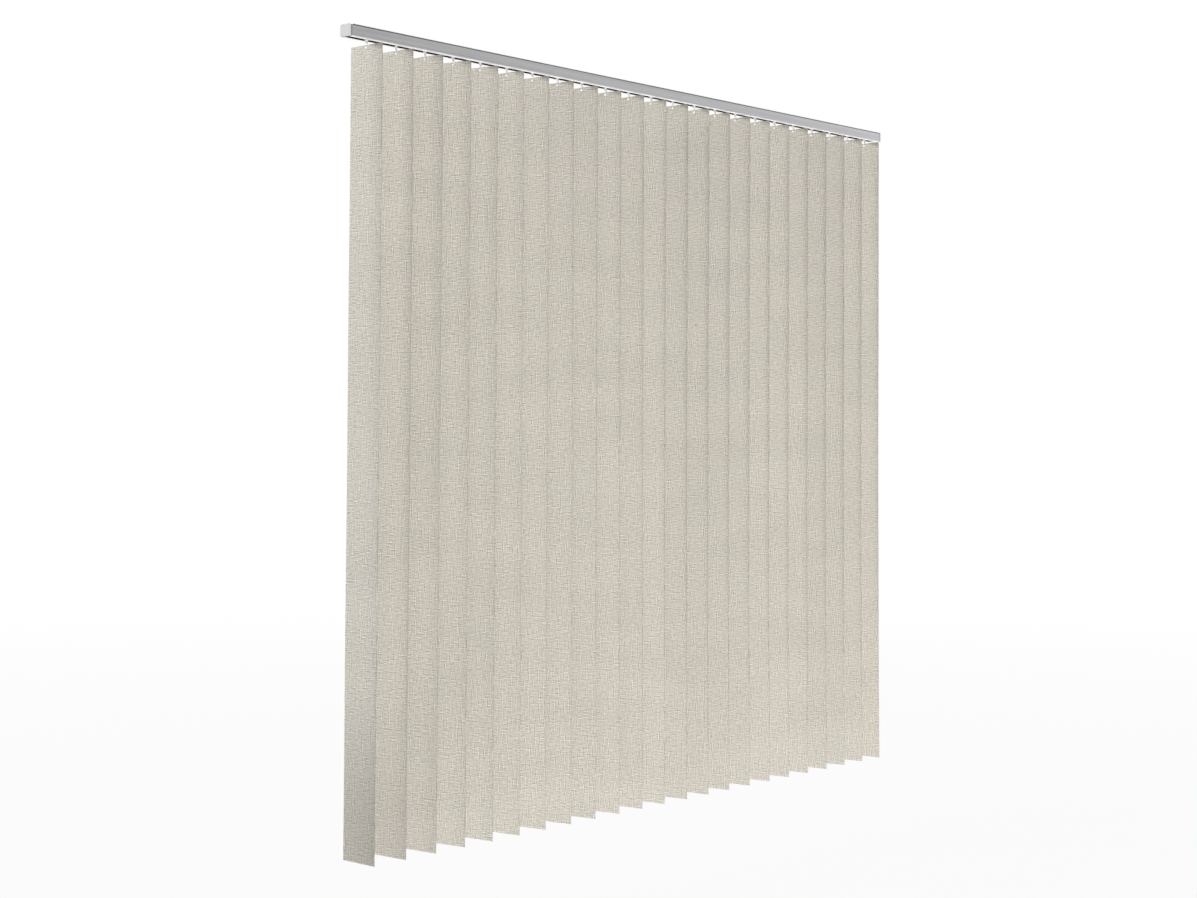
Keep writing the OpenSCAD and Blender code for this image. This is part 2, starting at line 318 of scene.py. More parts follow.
@dataclass(frozen=True)
class MillAluminium:
    """Bare extruded rod with fine lines along it."""

    tone: Triple = (0.62, 0.63, 0.64)
    roughness: float = 0.41
    roughness_spread: float = 0.09
    line_cells: Triple = (8.0, 1500.0, 1500.0)
    line_height: float = 0.00003
    line_middle: float = 0.98
    line_spread: float = 0.10

    def material(self) -> Material:
        """Builds the finish."""
        bench = NodeBench.for_material("mill_aluminium")
        lines = bench.noise(bench.place(), self.line_cells)
        colour = bench.tint((*self.tone, 1.0), bench.vary(lines, self.line_spread, self.line_middle))
        rough = bench.vary(lines, self.roughness_spread, self.roughness)
        return bench.shade({"Base Color": colour, "Metallic": 1.0, "Roughness": rough,
                            "Normal": bench.bump(lines, self.line_height, 0.5)})


@dataclass(frozen=True)
class CarrierMoulding:
    """Dark moulded carrier with pale wheels beside it and a pale strip over it."""

    tone: Triple = (0.022, 0.022, 0.024)
    wheel_tone: Triple = (0.30, 0.30, 0.30)
    strip_tone: Triple = (0.45, 0.46, 0.47)
    wheel_start: float = 0.01514
    wheel_top: float = -0.0224
    strip_low: float = -0.00305
    roughness: float = 0.50
    roughness_spread: float = 0.08
    grain_cells: Triple = (2200.0, 2200.0, 2200.0)
    grain_height: float = 0.00004
    grain_middle: float = 0.99
    grain_spread: float = 0.09

    def material(self) -> Material:
        """Builds the finish."""
        bench = NodeBench.for_material("carrier_moulding")
        place = bench.place()
        grain = bench.noise(place, self.grain_cells)
        _, y, z = bench.axes(place)
        beside = bench.math("GREATER_THAN", bench.math("ABSOLUTE", y), self.wheel_start)
        wheel = bench.math("MULTIPLY", beside, bench.math("LESS_THAN", z, self.wheel_top))
        strip = bench.math("GREATER_THAN", z, self.strip_low)
        colour = bench.blend(wheel, (*self.tone, 1.0), (*self.wheel_tone, 1.0))
        colour = bench.blend(strip, colour, (*self.strip_tone, 1.0))
        colour = bench.tint(colour, bench.vary(grain, self.grain_spread, self.grain_middle))
        rough = bench.vary(grain, self.roughness_spread, self.roughness)
        return bench.shade({"Base Color": colour, "Roughness": rough,
                            "Normal": bench.bump(grain, self.grain_height, 0.4)})


@dataclass(frozen=True)
class LinenCloth:
    """Stiffened linen-look weave, drawn in metres on the cloth's own map."""

    cool: Triple = (0.668, 0.637, 0.564)
    warm: Triple = (0.674, 0.634, 0.569)
    patch_cells: Triple = (8.0, 6.0, 1.0)
    patch_reach: float = 0.12
    strand_density: float = 225.0
    weft_swells: float = 46.0
    weft_spread: float = 0.50
    weft_lift: float = 0.7
    warp_swells: float = 36.0
    warp_spread: float = 0.54
    warp_lift: float = 0.6
    slub_cells: Triple = (42.0, 400.0, 1.0)
    slub_spread: float = 0.16
    knot_cells: Triple = (420.0, 420.0, 1.0)
    knot_spread: float = 0.20
    yarn_roughness: float = 0.7
    band_cells: Triple = (0.6, 9.0, 1.0)
    band_spread: float = 0.03
    thread: float = 0.0011
    thread_spread: float = 0.04
    thread_middle: float = 0.01
    thread_lift: float = 0.6
    relief: float = 0.00025
    roughness: float = 0.85
    roughness_spread: float = 0.07
    # Painted shade: below 1 this darkens the whole weave; the cut edge's material uses it.
    edge_shade: float = 1.0

    def material(self, name: str) -> Material:
        """Builds the finish.

        Args:
            name: The material's name.

        Returns:
            The material.
        """
        bench = NodeBench.for_material(name)
        place = bench.add("ShaderNodeUVMap", uv_map="cloth").outputs[0]
        weft = bench.strands(place, 0, self.weft_swells, self.strand_density)
        warp = bench.strands(place, 1, self.warp_swells, self.strand_density)
        slubs = bench.noise(place, self.slub_cells, 2.0, self.yarn_roughness)
        knots = bench.noise(place, self.knot_cells, 2.0, self.yarn_roughness)
        bands = bench.noise(place, self.band_cells, 2.0, 0.6)
        threads = bench.math("MULTIPLY", self.wave(bench, place, "X"), self.wave(bench, place, "Y"))
        level = bench.math("ADD", bench.vary(weft, self.weft_spread, reach=0.5),
                           bench.vary(warp, self.warp_spread, reach=0.5))
        for part in (bench.vary(slubs, self.slub_spread, reach=0.25),
                     bench.vary(knots, self.knot_spread, reach=0.25),
                     bench.vary(bands, self.band_spread),
                     bench.vary(threads, self.thread_spread, self.thread_middle, 0.5)):
            level = bench.math("ADD", level, part)
        level = bench.math("MULTIPLY", bench.math("ADD", level, 1.0), self.edge_shade)
        # Each slat's random tone and painted shade, read from the cloth's attribute, darken the weave.
        tone_and_painted_shade = bench.add("ShaderNodeAttribute", attribute_name="tone_and_painted_shade").outputs["Fac"]
        level = bench.math("MULTIPLY", level, bench.math("SUBTRACT", 1.0, tone_and_painted_shade))
        patch = bench.vary(bench.noise(place, self.patch_cells), 0.5, 0.5, self.patch_reach)
        colour = bench.tint(bench.blend(patch, (*self.cool, 1.0), (*self.warm, 1.0)), level)
        height = bench.math("MULTIPLY", threads, self.thread_lift)
        height = bench.math("ADD", height, bench.math("MULTIPLY", weft, self.weft_lift))
        height = bench.math("ADD", height, bench.math("MULTIPLY", warp, self.warp_lift))
        rough = bench.vary(knots, self.roughness_spread, self.roughness)
        return bench.shade({"Base Color": colour, "Roughness": rough, "Sheen Weight": 0.12,
                            "Sheen Roughness": 0.5, "Specular IOR Level": 0.25,
                            "Normal": bench.bump(height, self.relief, 0.55)})

    def wave(self, bench: NodeBench, place: Socket, direction: str) -> Socket:
        """Adds the fine threads across one direction, X or Y."""
        inputs = {"Vector": place, "Scale": math.tau / (20.0 * self.thread), "Distortion": 1.5,
                  "Detail": 1.0, "Detail Scale": 0.4}
        return bench.add("ShaderNodeTexWave", inputs, bands_direction=direction).outputs["Fac"]


@dataclass(frozen=True)
class StudioFloor:
    """Pale floor, nearly white to the camera, that keeps a faint shadow."""

    tone: float = 0.76
    far_tone: float = 0.50
    near_share: float = 0.92
    near: float = 2.0
    far: float = 9.0

    def material(self) -> Material:
        """Builds the finish."""
        bench = NodeBench.for_material("studio_floor")
        away = bench.add("ShaderNodeVectorMath", {0: bench.place()}, operation="LENGTH").outputs["Value"]
        tone = bench.grey(bench.span(away, self.near, self.far, self.tone, self.far_tone))
        paint = bench.add("ShaderNodeBsdfDiffuse", {"Color": tone})
        glow = bench.add("ShaderNodeEmission", {"Color": GLOW, "Strength": 1.0})
        white = bench.span(away, self.near, self.far, self.near_share, 1.0)
        share = bench.math("MULTIPLY", bench.seen(), white)
        shaders = {0: share, 1: paint.outputs[0], 2: glow.outputs[0]}
        return bench.surface(bench.add("ShaderNodeMixShader", shaders))


@dataclass(frozen=True)
class Card:
    """Square card of the studio, which the rail reflects or which keeps light off the cloth."""

    name: str
    level: float
    size: float
    centre: Triple
    upright_about: str = ""

    def material(self) -> Material:
        """Builds the finish, an even glow."""
        bench = NodeBench.for_material(self.name)
        return bench.surface(bench.add("ShaderNodeEmission", {"Color": GLOW, "Strength": self.level}))

    def place(self) -> Matrix:
        """Returns where the card lies, or stands if it is turned up about an axis."""
        middle = Matrix.Translation(self.centre)
        if not self.upright_about:
            return middle
        return middle @ Matrix.Rotation(math.radians(90.0), 4, self.upright_about)


@dataclass(frozen=True)
class Lamp:
    """Wide soft light, as even along the blind as a large screen's."""

    name: str
    source: Triple
    spread: float
    power: float

    def add(self) -> None:
        """Adds the light, with its spread in degrees and its power in watts on a square metre."""
        lamp = bpy.data.lights.new(self.name, "SUN")
        lamp.angle = math.radians(self.spread)
        lamp.energy = self.power
        light = bpy.data.objects.new(self.name, lamp)
        light.rotation_euler = (-Vector(self.source)).to_track_quat("-Z", "Y").to_euler()
        bpy.context.scene.collection.objects.link(light)


class Piece:
    """Mesh of one piece while it is shaped, and its way into the scene."""

    def __init__(self, name: str) -> None:
        """Starts an empty mesh.

        Args:
            name: The piece's name.
        """
        self.name = name
        self.bm = bmesh.new()

    def bevel(self, geom: list, radius: float, segments: int, affect: str = "EDGES") -> None:
        """Rounds edges, or corners where VERTICES are affected, by a radius."""
        bmesh.ops.bevel(self.bm, geom=geom, offset=radius, offset_type="OFFSET", affect=affect,
                        segments=segments, profile=0.5, material=-1, clamp_overlap=True)

    def section(self, outline: list[tuple[float, float]], x: float) -> bmesh.types.BMFace:
        """Draws a closed section across the rail from its corners' depths and heights."""
        return self.bm.faces.new([self.bm.verts.new((x, y, z)) for y, z in outline])

    def extrude(self, face: bmesh.types.BMFace, step: Vector) -> bmesh.types.BMFace:
        """Extrudes a face.

        Args:
            face: The face.
            step: How far it goes.

        Returns:
            The face at the far end.
        """
        made = bmesh.ops.extrude_face_region(self.bm, geom=[face])["geom"]
        bmesh.ops.translate(self.bm, verts=[v for v in made if isinstance(v, bmesh.types.BMVert)], vec=step)
        return [f for f in made if isinstance(f, bmesh.types.BMFace)][0]

    def turn(self, profile: Outline, centre: Vector, axis: Vector, out: Vector, steps: int,
             closed: bool = False) -> None:
        """Turns a profile about an axis, as on a lathe.

        Args:
            profile: Radius, and distance along the axis from centre, of its points.
            centre: A point of the axis.
            axis: The axis, of length 1.
            out: A direction square to the axis, of length 1.
            steps: Steps of the turn.
            closed: True for a ring, whose profile closes on itself.
        """
        points = [self.bm.verts.new(centre + out * r + axis * h) for r, h in profile]
        pairs = list(zip(points, points[1:] + points[:1] if closed else points[1:]))
        edges = [self.bm.edges.new(pair) for pair in pairs]
        bmesh.ops.spin(self.bm, geom=points + edges, cent=centre, axis=axis, angle=math.tau, steps=steps,
                       use_merge=True)

    def block(self, low: Vector, high: Vector, radius: float) -> None:
        """Adds a block with rounded edges.

        Args:
            low: Its lowest corner.
            high: Its highest corner.
            radius: Radius of its edges.
        """
        middle, size = (low + high) / 2, high - low
        place = Matrix.Translation(middle) @ Matrix.Diagonal((*size, 1.0))
        made = bmesh.ops.create_cube(self.bm, size=1.0, matrix=place)["verts"]
        self.bevel(list({e for v in made for e in v.link_edges}), radius, segments=2)

    def close(self) -> None:
        """Merges doubles and turns every face outwards."""
        bmesh.ops.remove_doubles(self.bm, verts=self.bm.verts, dist=TINY)
        bmesh.ops.recalc_face_normals(self.bm, faces=self.bm.faces)

    def place(self, finishes: list[Material], body: str, slot: Slot,
              stands_for: tuple[str, ...] = (), crease: float = 0.6, flat: bool = True) -> bpy.types.Object:
        """Makes the object and lets it ride on its body.

        Args:
            finishes: Its materials.
            body: The body it moves with.
            slot: Not used.
            stands_for: The solids that it replaces.
            crease: Angle in radians from which an edge is sharp.
            flat: True where large faces stay flat up to their rounded edges.

        Returns:
            The object.
        """
        for face in self.bm.faces:
            face.smooth = True
        for edge in self.bm.edges:
            edge.smooth = len(edge.link_faces) != 2 or edge.calc_face_angle(0.0) < crease
        mesh = bpy.data.meshes.new(self.name)
        self.bm.to_mesh(mesh)
        self.bm.free()
        for finish in finishes:
            mesh.materials.append(finish)
        piece = bpy.data.objects.new(self.name, mesh)
        bpy.context.scene.collection.objects.link(piece)
        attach(piece, body)
        if stands_for:
            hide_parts(*stands_for)
        if flat:
            normals = piece.modifiers.new("flat_faces", "WEIGHTED_NORMAL")
            normals.weight = 100
            normals.keep_sharp = True
        LOG.info("%s: %d faces, rides on %s", self.name, len(mesh.polygons), body)
        return piece


def dress_solid(node: str, finish: Material) -> None:
    """Gives a solid of the frame its finish.

    Args:
        node: The solid's name.
        finish: Its material.
    """
    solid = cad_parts[node]
    solid.data.materials.clear()
    solid.data.materials.append(finish)
    LOG.info("%s: solid with %s", node, finish.name)


@dataclass
class Headrail:
    """Slotted extrusion with a clip groove along each side."""

    depth: float = 0.040
    height: float = 0.033
    wall: float = 0.0014
    lower_radius: float = 0.003
    inner_radius: float = 0.0005
    slot_width: float = 0.018
    groove_height: float = 0.002
    groove_depth: float = 0.0016
    edge_radius: float = 0.00022

    def half_section(self) -> list[tuple[float, float]]:
        """Returns the section's front half, from its upper edge round to the inside of its top."""
        front, lip = -self.depth / 2, -self.slot_width / 2
        step = -2 * self.wall - self.groove_height
        return [(front, 0.0), (front, -self.wall), (front + self.groove_depth, -self.wall),
                (front + self.groove_depth, -self.wall - self.groove_height),
                (front, -self.wall - self.groove_height), (front, -self.height), (lip, -self.height),
                (lip, -self.height + self.wall), (front + self.wall, -self.height + self.wall),
                (front + self.wall, step), (front + self.groove_depth + self.wall, step),
                (front + self.groove_depth + self.wall, -self.wall)]

    def build(self, finish: Material) -> None:
        """Builds the rail.

        Args:
            finish: Its material.
        """
        low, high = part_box("headrail")
        piece = Piece("headrail_extrusion")
        half = self.half_section()
        face = piece.section(half + [(-y, z) for y, z in reversed(half)], low.x)
        piece.extrude(face, Vector((high.x - low.x, 0.0, 0.0)))
        piece.close()
        lengthwise = [e for e in piece.bm.edges if abs(e.verts[0].co.x - e.verts[1].co.x) > self.depth]
        lower = [e for e in lengthwise if self.at(e, self.depth / 2, -self.height)]
        corner = self.depth / 2 - self.wall, -self.height + self.wall
        inner = [e for e in lengthwise if self.at(e, *corner)]
        sides = [e for e in lengthwise if abs(abs(e.verts[0].co.y) - self.depth / 2) < TINY]
        outer = [e for e in sides if e not in lower]
        lips = [e for e in lengthwise if abs(abs(e.verts[0].co.y) - self.slot_width / 2) < TINY]
        piece.bevel(lower, self.lower_radius, segments=6)
        piece.bevel(inner, self.inner_radius, segments=3)
        piece.bevel(outer + lips, self.edge_radius, segments=2)
        piece.place([finish], "headrail", Slot.RAIL, ("headrail",))

    @staticmethod
    def at(edge: bmesh.types.BMEdge, depth: float, height: float) -> bool:
        """Tells whether a lengthwise edge lies at a depth, on either side, and a height."""
        place = edge.verts[0].co
        return abs(abs(place.y) - depth) < TINY and abs(place.z - height) < TINY


@dataclass
class EndCap:
    """Plate that closes an end of the rail, with a recessed neck, a plug and bearings."""

    side: Side
    plate: float = 0.003
    neck: float = 0.002
    neck_depth: float = 0.0015
    depth: float = 0.040
    height: float = 0.033
    lower_radius: float = 0.003
    edge_radius: float = 0.0004
    rod_place: tuple[float, float] = (0.0109, -0.01345)
    plug_depth: float = 0.010
    bearing_depth: float = 0.008
    boss_depth: float = 0.0093
    rod_sleeve: tuple[float, float] = (0.0052, 0.00305)
    wheel_sleeve: tuple[float, float] = (0.0042, 0.00205)
    plug_leg: Outline = ((-0.0168, -0.0016), (-0.0168, -0.0050), (-0.0184, -0.0050), (-0.0184, -0.0314),
                         (-0.01513, -0.0314), (-0.01513, -0.0070))
    plug_overlap: float = 0.0005
    rim_reach: float = 0.0009

    @property
    def node(self) -> str:
        """Returns the name of the cap's solid."""
        return "left_end_cap" if self.side is Side.LEFT else "right_end_cap"

    def build(self, finish: Material) -> None:
        """Builds the cap.

        Args:
            finish: Its material.
        """
        low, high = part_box(self.node)
        outer = low.x if self.side is Side.LEFT else high.x
        inward = -self.side.value
        piece = Piece(self.node + "_moulding")
        half = self.depth / 2
        face = piece.section([(-half, 0.0), (half, 0.0), (half, -self.height), (-half, -self.height)], outer)
        corners = [v for v in face.verts if v.co.z < -self.height / 2]
        piece.bevel(corners, self.lower_radius, segments=6, affect="VERTICES")
        face = piece.extrude(piece.bm.faces[:][0], Vector((inward * self.plate, 0.0, 0.0)))
        bmesh.ops.inset_region(piece.bm, faces=[face], thickness=self.neck_depth, use_even_offset=True)
        piece.extrude(face, Vector((inward * self.neck, 0.0, 0.0)))
        rims = [e for e in piece.bm.edges if self.on_rim(e, outer, inward)]
        piece.bevel(rims, self.edge_radius, segments=3)
        seat = outer + inward * (self.plate + self.neck)
        if self.side is Side.LEFT:
            self.plug(piece, seat - self.plug_overlap)
            self.sleeve(piece, seat, self.bearing_depth, self.rod_place, *self.rod_sleeve)
        else:
            start, wheel_place = seat - self.boss_depth, (0.0, self.rod_place[1])
            self.sleeve(piece, start, self.boss_depth, self.rod_place, *self.rod_sleeve)
            self.sleeve(piece, start, self.boss_depth, wheel_place, *self.wheel_sleeve)
        piece.close()
        piece.place([finish], "headrail", Slot.CAP, (self.node,))

    def on_rim(self, edge: bmesh.types.BMEdge, outer: float, inward: int) -> bool:
        """Tells whether an edge runs round the plate's outer or inner rim."""
        inner = outer + inward * self.plate
        ends = [vert.co for vert in edge.verts]
        near = [min(abs(end.x - outer), abs(end.x - inner)) < TINY for end in ends]
        past = [max(abs(end.y) - self.depth / 2, -end.z - self.height, end.z) for end in ends]
        along = abs(ends[0].x - ends[1].x) > TINY
        return all(near) and min(past) > -self.rim_reach and not along

    def plug(self, piece: Piece, start: float) -> None:
        """Adds the plug that is pushed into the rail."""
        face = piece.section([*self.plug_leg, *((-y, z) for y, z in reversed(self.plug_leg))], start)
        piece.extrude(face, Vector((self.plug_depth + self.plug_overlap, 0.0, 0.0)))

    @staticmethod
    def sleeve(piece: Piece, start: float, length: float, place: tuple[float, float], outer: float,
               bore: float) -> None:
        """Adds a bearing sleeve along the rail, with its axis at a depth and height."""
        ring = ((bore, 0.0), (outer, 0.0), (outer, length), (bore, length))
        piece.turn(ring, Vector((start, *place)), Vector((1.0, 0.0, 0.0)), Vector((0.0, 1.0, 0.0)), steps=32,
                   closed=True)


@dataclass
class ClothHang:
    """How one slat's cloth hangs: its lean, twist, curl and ripple, and its random tone and painted shade.

    A drop goes from 0 at the slat's top to 1 at its foot, and a share from 0 at its rear edge to 1 at its
    front edge. Leans are in degrees. A swell of the lean has a size, a middle slat and a width.
    """

    number: int
    lean_base: float = 3.0
    lean_swells: tuple[Triple, ...] = ((3.1, 8.3, 2.8), (-8.5, 1.0, 1.3))
    lean_spread: float = 0.4
    twist_most: float = math.radians(9.8)
    twist_middle: float = 6.0
    twist_run: float = 0.8
    twist_start: float = 0.03
    power_least: float = 1.2
    power_most: float = 4.0
    power_step: float = 0.4
    power_first: int = 5
    front_start: float = 0.55
    front_curl: float = 0.0030
    front_curl_loss: float = 0.33
    rear_start: float = 0.3
    rear_curl: float = 0.0008
    curl_fade: float = 0.9
    ripple_size: float = 0.0004
    ripple_waves: float = 2.6
    ripple_growth: float = 12.0
    shade_spread: float = 0.04
    # Painted shade: the cloth is darkened along its front edge and, on twisted slats, over the upper part and
    # just under the rail, in place of shading.
    front_painted_shade: float = 0.18
    front_painted_shade_power: float = 1.5
    front_painted_shade_run: float = 0.4
    front_painted_shade_loss: float = 0.75
    front_painted_shade_low_loss: float = 0.2
    foot_painted_shade: float = 0.35
    twist_painted_shade: float = 0.072
    top_painted_shade: float = 0.07
    top_painted_shade_run: float = 0.25

    def __post_init__(self) -> None:
        """Draws what is this slat's own."""
        lean = self.lean_base
        for size, middle, width in self.lean_swells:
            lean += size * math.exp(-((self.number - middle) / width) ** 2)
        lean += random.Random(LEAN_SEED + self.number).uniform(-self.lean_spread, self.lean_spread)
        self.foot_lean = math.radians(lean)
        self.twisted = 1.0 / (1.0 + math.exp((self.twist_middle - self.number) / self.twist_run))
        self.power = self.power_step * (self.number - self.power_first)
        self.power = min(self.power_most, max(self.power_least, self.power))
        self.phase = random.Random(RIPPLE_SEED + self.number).uniform(0.0, math.tau)
        self.shade = random.Random(SHADE_SEED + self.number).uniform(0.0, self.shade_spread)

    def hold(self, drop: float) -> float:
        """Returns the share of the twist that is left at a drop."""
        return 1.0 - max(0.0, (drop - self.twist_start) / (1.0 - self.twist_start)) ** self.power

    def angle(self, drop: float) -> float:
        """Returns how far the slat stands from square at a drop, in radians."""
        return self.foot_lean - self.twist_most * self.twisted * self.hold(drop)

    def front(self, share: float) -> float:
        """Returns the way from where the front curl starts, at 0, to the front edge, at 1."""
        return max(0.0, (share - self.front_start) / (1.0 - self.front_start))

    def bow(self, drop: float, share: float) -> float:
        """Returns how far the cloth stands out of its plane, in metres.

        Args:
            drop: Place down the slat.
            share: Place across it.

        Returns:
            The curl at both edges and the ripple.
        """
        curl = self.front_curl * (1.0 - self.front_curl_loss * self.twisted) * self.front(share) ** 2
        curl += self.rear_curl * max(0.0, (self.rear_start - share) / self.rear_start) ** 2
        curl *= 1.0 - self.curl_fade * drop * drop * (3.0 - 2.0 * drop)
        wave = math.sin(math.tau * self.ripple_waves * drop + self.phase)
        ripple = self.ripple_size * wave * (2.0 * share - 1.0) * min(1.0, self.ripple_growth * drop)
        return curl + ripple

    def tone_and_painted_shade(self, drop: float, share: float) -> float:
        """Returns how much darker the cloth is, from 0 to 1, by its random tone and painted shade.

        Args:
            drop: Place down the slat.
            share: Place across it.

        Returns:
            The slat's own random tone, plus painted shade along its front edge and, on twisted slats, over
            the upper part and just under the rail.
        """
        edge = self.foot_painted_shade + (1.0 - self.foot_painted_shade) * math.exp(-drop / self.front_painted_shade_run)
        loss = self.front_painted_shade_loss + self.front_painted_shade_low_loss * min(1.0, 2.0 * drop)
        edge *= self.front_painted_shade * (1.0 - self.twisted * loss) * self.front(share) ** self.front_painted_shade_power
        upper = self.twist_painted_shade * self.hold(drop) + self.top_painted_shade * math.exp(-drop / self.top_painted_shade_run)
        return self.shade + edge + upper * self.twisted


@dataclass
class Hanger:
    """White hanger of one slat: stem and collar, toothed wheel, tongue behind the cloth, and peg."""

    body: str
    x: float
    angle: float
    cloth_top: float
    cloth_back: float
    hole: float
    steps: int = 20
    chamfer: float = 0.0003
    stem_radius: float = 0.0025
    stem_top: float = -0.0073
    stem_foot: float = -0.0430
    collar_radius: float = 0.0050
    collar_top: float = -0.0293
    collar_foot: float = -0.0336
    wheel_teeth: int = 14
    wheel_root: float = 0.0046
    wheel_tip: float = 0.0064
    wheel_low: float = -0.01595
    wheel_height: float = 0.005
    tongue_gap: float = 0.00002
    tongue_half: float = 0.0035
    tongue_thickness: float = 0.0018
    tongue_below: float = 0.006
    tongue_above: float = 0.007
    tongue_radius: float = 0.0005
    peg: Outline = ((0.0, 0.00155), (0.0024, 0.00153), (0.0031, 0.00140), (0.0034, 0.0011), (0.0034, 0.0007),
                    (0.0034, -0.00085), (0.0, -0.00085))

    def build(self, plastic: Material) -> bpy.types.Object:
        """Builds the hanger.

        Args:
            plastic: Its material.

        Returns:
            The hanger's object.
        """
        piece = Piece(self.body + "_hanger")
        up, left, back = Vector((0.0, 0.0, 1.0)), Vector((-1.0, 0.0, 0.0)), Vector((0.0, 1.0, 0.0))
        piece.turn(self.stem(), Vector((0.0, 0.0, 0.0)), up, back, self.steps)
        self.add_wheel(piece)
        near = self.cloth_back + self.tongue_gap
        low, high = self.hole - self.tongue_below, self.cloth_top + self.tongue_above
        piece.block(Vector((near, -self.tongue_half, low)),
                    Vector((near + self.tongue_thickness, self.tongue_half, high)), self.tongue_radius)
        piece.turn(self.peg, Vector((0.0, 0.0, self.hole)), left, back, self.steps)
        piece.close()
        turn = Matrix.Translation((self.x, 0.0, 0.0)) @ Matrix.Rotation(self.angle, 4, "Z")
        bmesh.ops.transform(piece.bm, matrix=turn, verts=piece.bm.verts)
        return piece.place([plastic], self.body, Slot.WHITE)

    def stem(self) -> Outline:
        """Returns the profile of stem and collar, from its top down."""
        stem, collar, cut = self.stem_radius, self.collar_radius, self.chamfer
        return ((0.0, self.stem_top), (stem - cut, self.stem_top), (stem, self.stem_top - cut),
                (stem, self.collar_top), (collar - cut, self.collar_top), (collar, self.collar_top - cut),
                (collar, self.collar_foot + cut), (collar - cut, self.collar_foot), (stem, self.collar_foot),
                (stem, self.stem_foot + cut), (stem - cut, self.stem_foot), (0.0, self.stem_foot))

    def add_wheel(self, piece: Piece) -> None:
        """Adds the toothed wheel on the stem.

        Args:
            piece: The hanger.
        """
        centre, corners = Vector((0.0, 0.0, self.wheel_low)), 4 * self.wheel_teeth
        ring = bmesh.ops.create_circle(piece.bm, cap_ends=True, radius=self.wheel_root, segments=corners,
                                       matrix=Matrix.Translation(centre))["verts"]
        for index, vert in enumerate(ring):
            if index % 4 < 2:
                vert.co = centre + (vert.co - centre) * (self.wheel_tip / self.wheel_root)
        caps = [f for f in piece.bm.faces if len(f.verts) == corners]
        face = [f for f in caps if abs(f.verts[0].co.z - self.wheel_low) < TINY][0]
        piece.extrude(face, Vector((0.0, 0.0, self.wheel_height)))


